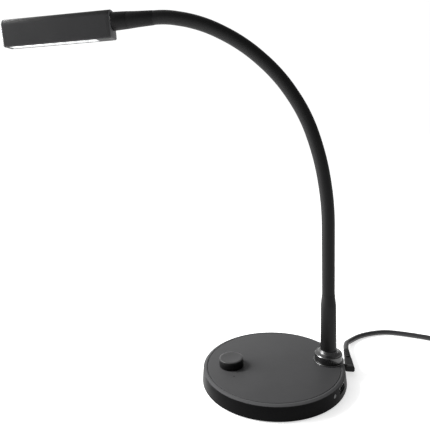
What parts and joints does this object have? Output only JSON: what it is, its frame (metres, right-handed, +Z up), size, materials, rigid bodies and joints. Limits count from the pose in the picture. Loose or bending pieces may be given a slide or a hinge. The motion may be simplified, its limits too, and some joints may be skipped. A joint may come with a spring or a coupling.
{
  "type": "gooseneck desk lamp",
  "caption": "Black gooseneck desk lamp: a bar-shaped LED head on a flexible neck over a round weighted base with a rotary dimmer, a charging port and a lead with its wall adapter.",
  "frame": {"origin": "centre of the underside of the base's pad, on the table", "axes": "+Z up along the post; +X from the dimmer knob through the base's centre to the post; the neck bends in the upright plane turned 8.7 degrees from -X towards +Y"},
  "size_m": [0.6114, 0.1618, 0.3883],
  "materials": {
    "base_black": "satin moulded plastic, near black",
    "plate_black": "fine satin black paint",
    "knob_black": "satin moulded plastic, near black",
    "post_black": "satin black paint",
    "neck_black": "smooth satin sleeve",
    "head_black": "satin moulded plastic, near black",
    "steel": "bare steel",
    "plated": "bright plating",
    "aluminium": "bare extruded",
    "board_green": "solder mask",
    "insulator": "moulded",
    "diffuser": "frosted translucent",
    "led": "lit",
    "light_pipe": "translucent",
    "pad_rubber": "matt foam rubber",
    "cord_black": "satin lead jacket",
    "adapter_black": "fine-grained moulded plastic"
  },
  "bodies": {
    "root": {"base_housing": "base_black", "top_plate": "plate_black", "base_weight": "steel", "bottom_cover": "base_black", "cover_screws": "steel", "base_pad": "pad_rubber", "dimmer_body": "insulator", "dimmer_nut": "steel", "control_board": "board_green", "board_screws": "steel", "usb_shell": "plated", "usb_tongue": "insulator", "indicator_lens": "light_pipe", "power_jack": "insulator", "base_leads": "cord_black", "post_flange": "post_black", "post_collar": "post_black", "post_sleeve": "post_black", "lower_ferrule": "steel", "hollow_stud": "steel", "stud_nut": "steel", "stud_washer": "steel", "neck_core_1": "steel", "neck_sleeve_1": "neck_black", "power_plug": "cord_black", "plug_barrel": "plated", "power_cord": "cord_black", "cord_coil": "cord_black", "wall_adapter": "adapter_black", "adapter_pins": "plated"},
    "knob": {"dimmer_knob": "knob_black", "dimmer_shaft": "steel"},
    "neck_2": {"neck_core_2": "steel", "neck_sleeve_2": "neck_black"},
    "neck_3": {"neck_core_3": "steel", "neck_sleeve_3": "neck_black"},
    "neck_4": {"neck_core_4": "steel", "neck_sleeve_4": "neck_black"},
    "neck_5": {"neck_core_5": "steel", "neck_sleeve_5": "neck_black"},
    "neck_6": {"neck_core_6": "steel", "neck_sleeve_6": "neck_black"},
    "neck_7": {"neck_core_7": "steel", "neck_sleeve_7": "neck_black"},
    "neck_8": {"neck_core_8": "steel", "neck_sleeve_8": "neck_black"},
    "head": {"neck_core_9": "steel", "neck_sleeve_9": "neck_black", "head_boot": "neck_black", "head_socket": "aluminium", "socket_nut": "steel", "neck_end_cap": "head_black", "head_housing": "head_black", "tip_end_cap": "head_black", "heat_sink": "aluminium", "led_board": "board_green", "leds": "led", "lens": "diffuser", "lens_frame": "head_black"}
  },
  "joints": [
    {"name": "dimmer_turn", "type": "hinge", "parent": "root", "child": "knob", "pos_m": [-0.0446, 0, 0.0204], "axis": [0, 0, 1], "range_deg": [-150, 150]},
    {"name": "neck_bend_1", "type": "hinge", "parent": "root", "child": "neck_2", "pos_m": [0.0604, 0, 0.1152], "axis": [-0.1513, -0.9885, 0], "range_deg": [-30, 12]},
    {"name": "neck_sway_2", "type": "hinge", "parent": "neck_2", "child": "neck_3", "pos_m": [0.0604, 0, 0.1616], "axis": [0.9885, -0.1513, 0], "range_deg": [-25, 25]},
    {"name": "neck_bend_3", "type": "hinge", "parent": "neck_3", "child": "neck_4", "pos_m": [0.05704, 0.00051, 0.20783], "axis": [-0.1513, -0.9885, 0], "range_deg": [-30, 12]},
    {"name": "neck_bend_4", "type": "hinge", "parent": "neck_4", "child": "neck_5", "pos_m": [0.0467, 0.0021, 0.25297], "axis": [-0.1513, -0.9885, 0], "range_deg": [-30, 12]},
    {"name": "neck_sway_5", "type": "hinge", "parent": "neck_5", "child": "neck_6", "pos_m": [0.02734, 0.00506, 0.29487], "axis": [0.8346, -0.1277, 0.5359], "range_deg": [-25, 25]},
    {"name": "neck_bend_6", "type": "hinge", "parent": "neck_6", "child": "neck_7", "pos_m": [-0.00177, 0.00951, 0.33054], "axis": [-0.1513, -0.9885, 0], "range_deg": [-30, 12]},
    {"name": "neck_bend_7", "type": "hinge", "parent": "neck_7", "child": "neck_8", "pos_m": [-0.03861, 0.01515, 0.35796], "axis": [-0.1513, -0.9885, 0], "range_deg": [-30, 12]},
    {"name": "neck_sway_8", "type": "hinge", "parent": "neck_8", "child": "head", "pos_m": [-0.08124, 0.02167, 0.37456], "axis": [0.2173, -0.0332, 0.9755], "range_deg": [-25, 25]}
  ]
}
